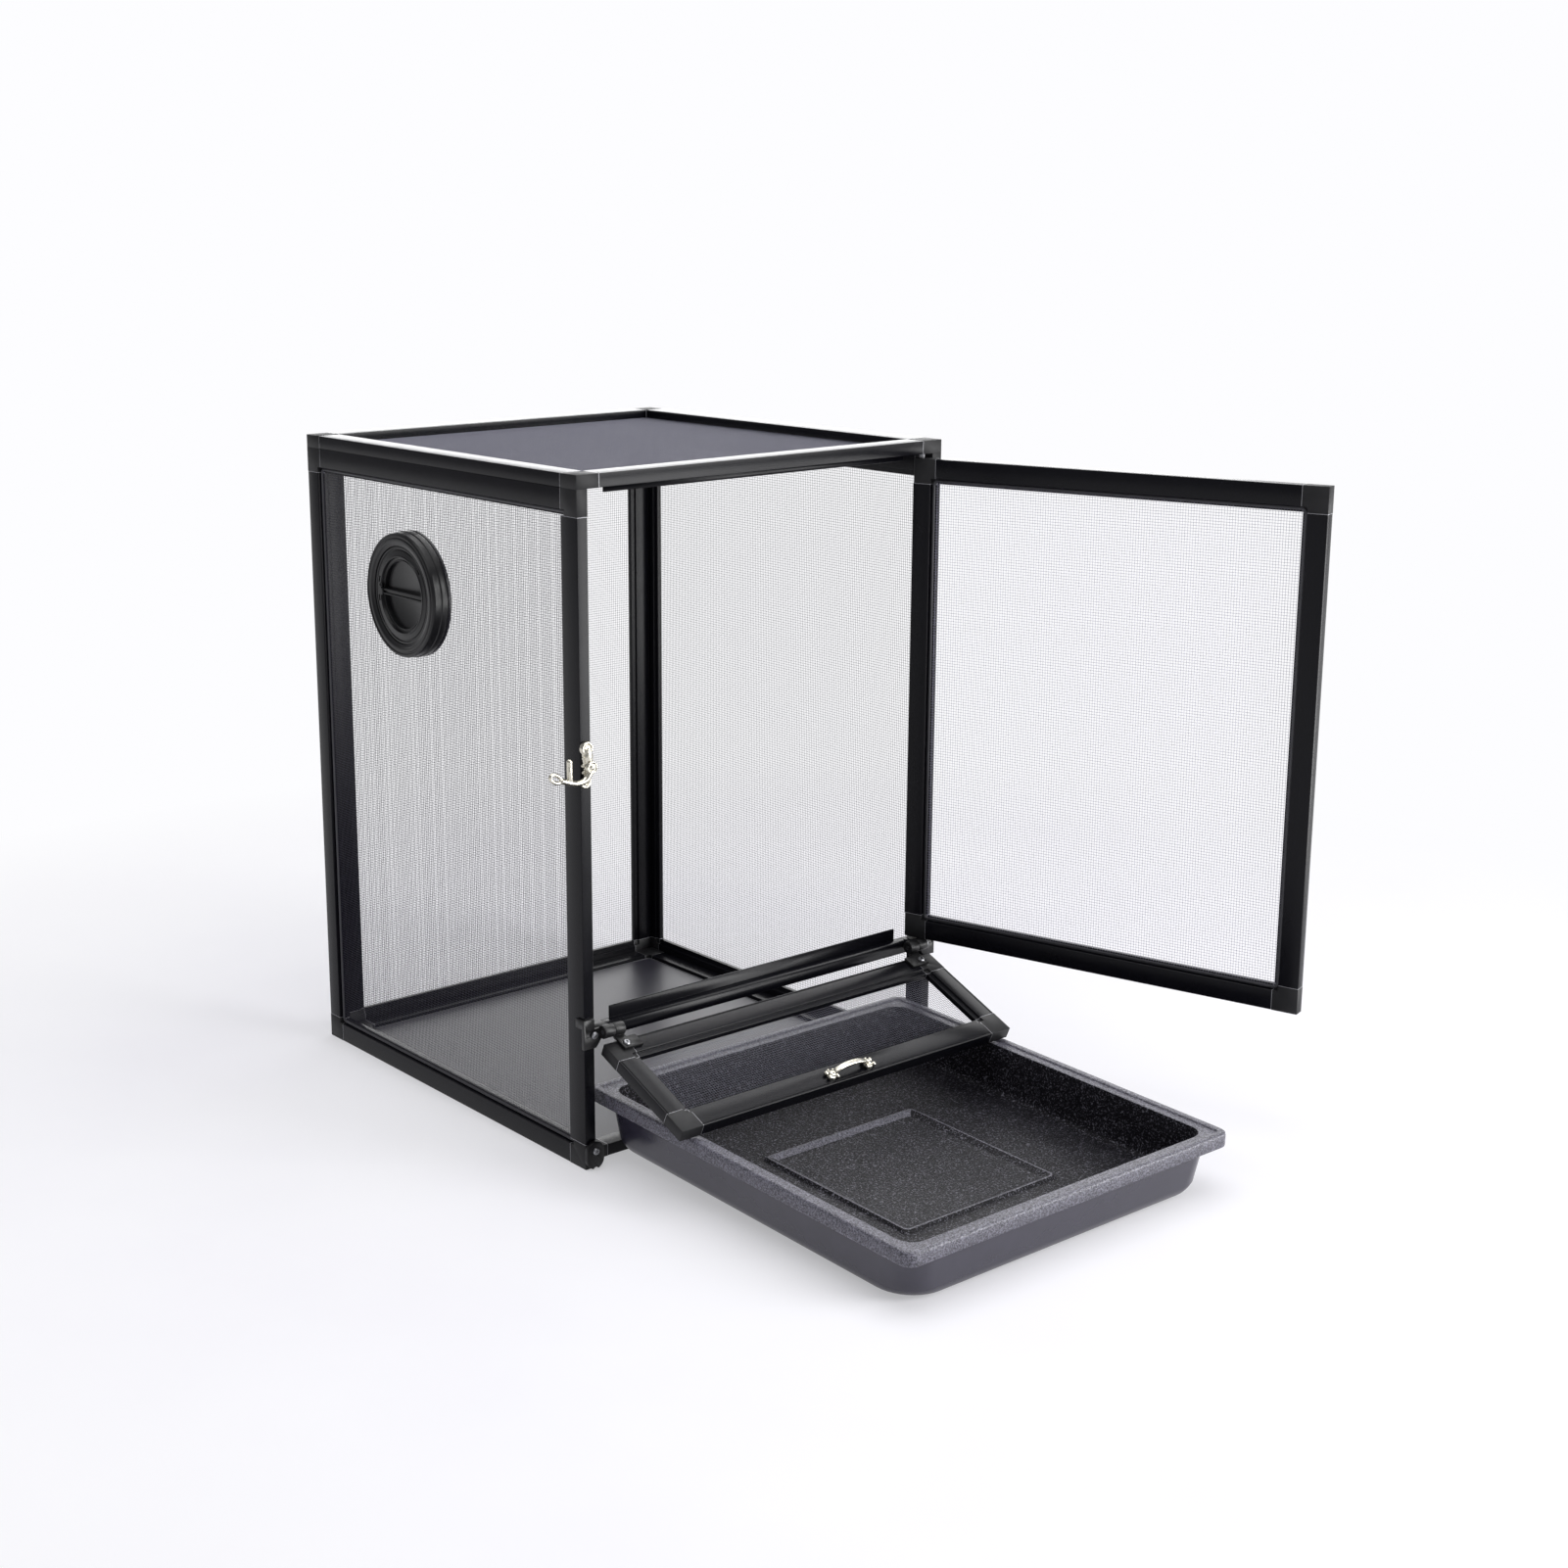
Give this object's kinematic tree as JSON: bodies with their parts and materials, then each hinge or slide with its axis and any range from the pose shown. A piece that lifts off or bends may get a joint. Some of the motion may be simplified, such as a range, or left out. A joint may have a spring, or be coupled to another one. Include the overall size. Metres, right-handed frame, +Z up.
{
  "type": "reptile terrarium",
  "caption": "Upright mesh terrarium with an open front door, drop-down service flap, pull-out substrate tray and a round capped access port.",
  "frame": {"origin": "middle of the underside of the floor panel's front rail, on the ground plane", "axes": "+X to the cage's right as seen from the front, +Y towards its back, +Z up"},
  "size_m": [0.5438, 0.8155, 0.61],
  "materials": {
    "frame_black": "satin black powder coat",
    "connector_plastic": "matte dark grey",
    "clip_plastic": "matte black",
    "hinge_plastic": "matte dark grey",
    "port_plastic": "matte black",
    "bush_plastic": "light grey",
    "mesh": "woven, satin",
    "spline": "matte grey cord",
    "floor_sheet": "satin dark grey",
    "tray_plastic": "satin, grained inside",
    "nickel": "bright nickel plate",
    "screw_steel": "zinc plate"
  },
  "bodies": {
    "cage": {"left_stiles": "frame_black", "left_rails": "frame_black", "left_corners": "connector_plastic", "left_mesh": "mesh", "left_spline": "spline", "right_stiles": "frame_black", "right_rails": "frame_black", "right_corners": "connector_plastic", "right_mesh": "mesh", "right_spline": "spline", "back_stiles": "frame_black", "back_rails": "frame_black", "back_corners": "connector_plastic", "back_mesh": "mesh", "back_spline": "spline", "roof_stiles": "frame_black", "roof_rails": "frame_black", "roof_corners": "connector_plastic", "roof_mesh": "mesh", "roof_spline": "spline", "floor_stiles": "frame_black", "floor_rails": "frame_black", "floor_corners": "connector_plastic", "floor_sheet": "floor_sheet", "floor_spline": "spline", "cross_bar": "frame_black", "cross_bar_plugs": "clip_plastic", "head_stop": "frame_black", "door_bush": "bush_plastic", "door_pins": "screw_steel", "flap_bracket_left": "hinge_plastic", "flap_bracket_right": "hinge_plastic", "flap_hinge_pins": "screw_steel", "bracket_screws": "screw_steel", "port_flange": "port_plastic", "port_backing": "port_plastic", "port_screws": "screw_steel", "latch_base": "nickel", "latch_knob": "nickel", "latch_screws": "screw_steel", "clip_screws": "screw_steel"},
    "door": {"door_stiles": "frame_black", "door_rails": "frame_black", "door_corners": "connector_plastic", "door_mesh": "mesh", "door_spline": "spline"},
    "flap": {"flap_stiles": "frame_black", "flap_rails": "frame_black", "flap_corners": "connector_plastic", "flap_mesh": "mesh", "flap_spline": "spline", "flap_leaf_left": "hinge_plastic", "flap_leaf_right": "hinge_plastic", "flap_handle": "nickel", "leaf_screws": "screw_steel"},
    "tray": {"tray": "tray_plastic"},
    "port_cap": {"port_cap": "port_plastic"},
    "latch_arm": {"latch_arm": "nickel"},
    "clip_left": {"clip_left": "clip_plastic"},
    "clip_right": {"clip_right": "clip_plastic"}
  },
  "joints": [
    {"name": "door_hinge", "type": "hinge", "parent": "cage", "child": "door", "pos_m": [0.19, -0.0195, 0.361], "axis": [0, 0, 1], "range_deg": [-106, 2]},
    {"name": "flap_hinge", "type": "hinge", "parent": "cage", "child": "flap", "pos_m": [0, -0.0315, 0.1268], "axis": [-1, 0, 0], "range_deg": [0, 25]},
    {"name": "tray_slide", "type": "slide", "parent": "cage", "child": "tray", "axis": [0, 0.9996, 0.0281], "range_m": [0, 0.394]},
    {"name": "latch_turn", "type": "hinge", "parent": "cage", "child": "latch_arm", "pos_m": [-0.2016, -0.029, 0.3648], "axis": [0, -1, 0], "range_deg": [0, 180]},
    {"name": "port_cap_turn", "type": "hinge", "parent": "cage", "child": "port_cap", "pos_m": [-0.215, 0.234, 0.478], "axis": [-1, 0, 0], "range_deg": [0, 45]},
    {"name": "clip_left_turn", "type": "hinge", "parent": "cage", "child": "clip_left", "pos_m": [-0.201, -0.027, 0.0172], "axis": [0, -1, 0], "range_deg": [0, 60]},
    {"name": "clip_right_turn", "type": "hinge", "parent": "cage", "child": "clip_right", "pos_m": [0.201, -0.027, 0.0172], "axis": [0, 1, 0], "range_deg": [0, 60]}
  ]
}
